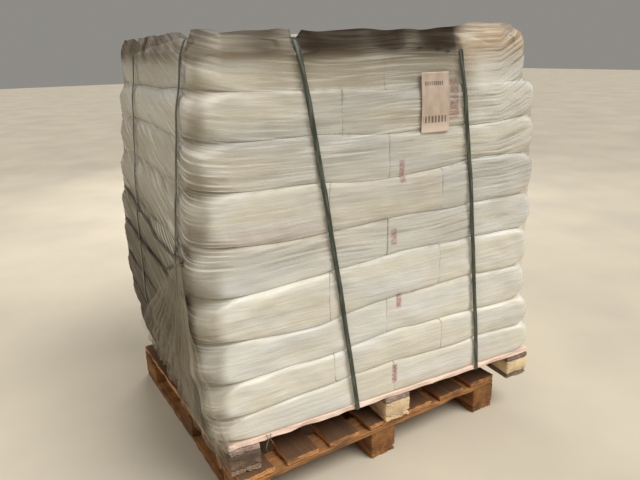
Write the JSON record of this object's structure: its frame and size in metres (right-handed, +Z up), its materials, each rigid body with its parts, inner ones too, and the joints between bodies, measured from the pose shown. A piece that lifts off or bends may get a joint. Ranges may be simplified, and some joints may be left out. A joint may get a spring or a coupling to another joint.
{
  "type": "pallet of sacks",
  "caption": "Strapped and film-wrapped stack of filled sacks on a wooden block pallet, standing on an empty pallet; stored and lifted by fork.",
  "frame": {"origin": "on the floor, under the middle of the whole object's box", "axes": "+X along the wide front from left to right, +Y from the front to the back, +Z up"},
  "size_m": [1.2902, 1.072, 1.4138],
  "materials": {
    "upper_wood": "sawn, weathered grey-brown",
    "lower_wood": "sawn, orange-brown, dirty",
    "sack": "filled paper and plastic weave, cream-white",
    "film": "clear stretch film, wrinkled",
    "strap": "embossed dark green strapping",
    "label": "tan paper label"
  },
  "bodies": {
    "root": {"upper_deck_board_1": "upper_wood", "upper_deck_board_2": "upper_wood", "upper_deck_board_3": "upper_wood", "upper_deck_board_4": "upper_wood", "upper_deck_board_5": "upper_wood", "upper_deck_board_6": "upper_wood", "upper_deck_board_7": "upper_wood", "upper_stringer_1": "upper_wood", "upper_stringer_2": "upper_wood", "upper_stringer_3": "upper_wood", "upper_bottom_board_1": "upper_wood", "upper_bottom_board_2": "upper_wood", "upper_bottom_board_3": "upper_wood", "upper_block_a1": "upper_wood", "upper_block_a2": "upper_wood", "upper_block_a3": "upper_wood", "upper_block_b1": "upper_wood", "upper_block_b2": "upper_wood", "upper_block_b3": "upper_wood", "upper_block_c1": "upper_wood", "upper_block_c2": "upper_wood", "upper_block_c3": "upper_wood", "lower_deck_board_1": "lower_wood", "lower_deck_board_2": "lower_wood", "lower_deck_board_3": "lower_wood", "lower_deck_board_4": "lower_wood", "lower_deck_board_5": "lower_wood", "lower_deck_board_6": "lower_wood", "lower_deck_board_7": "lower_wood", "lower_stringer_1": "lower_wood", "lower_stringer_2": "lower_wood", "lower_stringer_3": "lower_wood", "lower_bottom_board_1": "lower_wood", "lower_bottom_board_2": "lower_wood", "lower_bottom_board_3": "lower_wood", "lower_block_a1": "lower_wood", "lower_block_a2": "lower_wood", "lower_block_a3": "lower_wood", "lower_block_b1": "lower_wood", "lower_block_b2": "lower_wood", "lower_block_b3": "lower_wood", "lower_block_c1": "lower_wood", "lower_block_c2": "lower_wood", "lower_block_c3": "lower_wood", "sack_layer_1": "sack", "sack_layer_2": "sack", "sack_layer_3": "sack", "sack_layer_4": "sack", "sack_layer_5": "sack", "sack_layer_6": "sack", "sack_layer_7": "sack", "sack_layer_8": "sack", "sack_layer_9": "sack", "stretch_film": "film", "strap_front_left": "strap", "strap_front_right": "strap", "strap_side_front": "strap", "strap_side_back": "strap", "label": "label"}
  },
  "joints": []
}
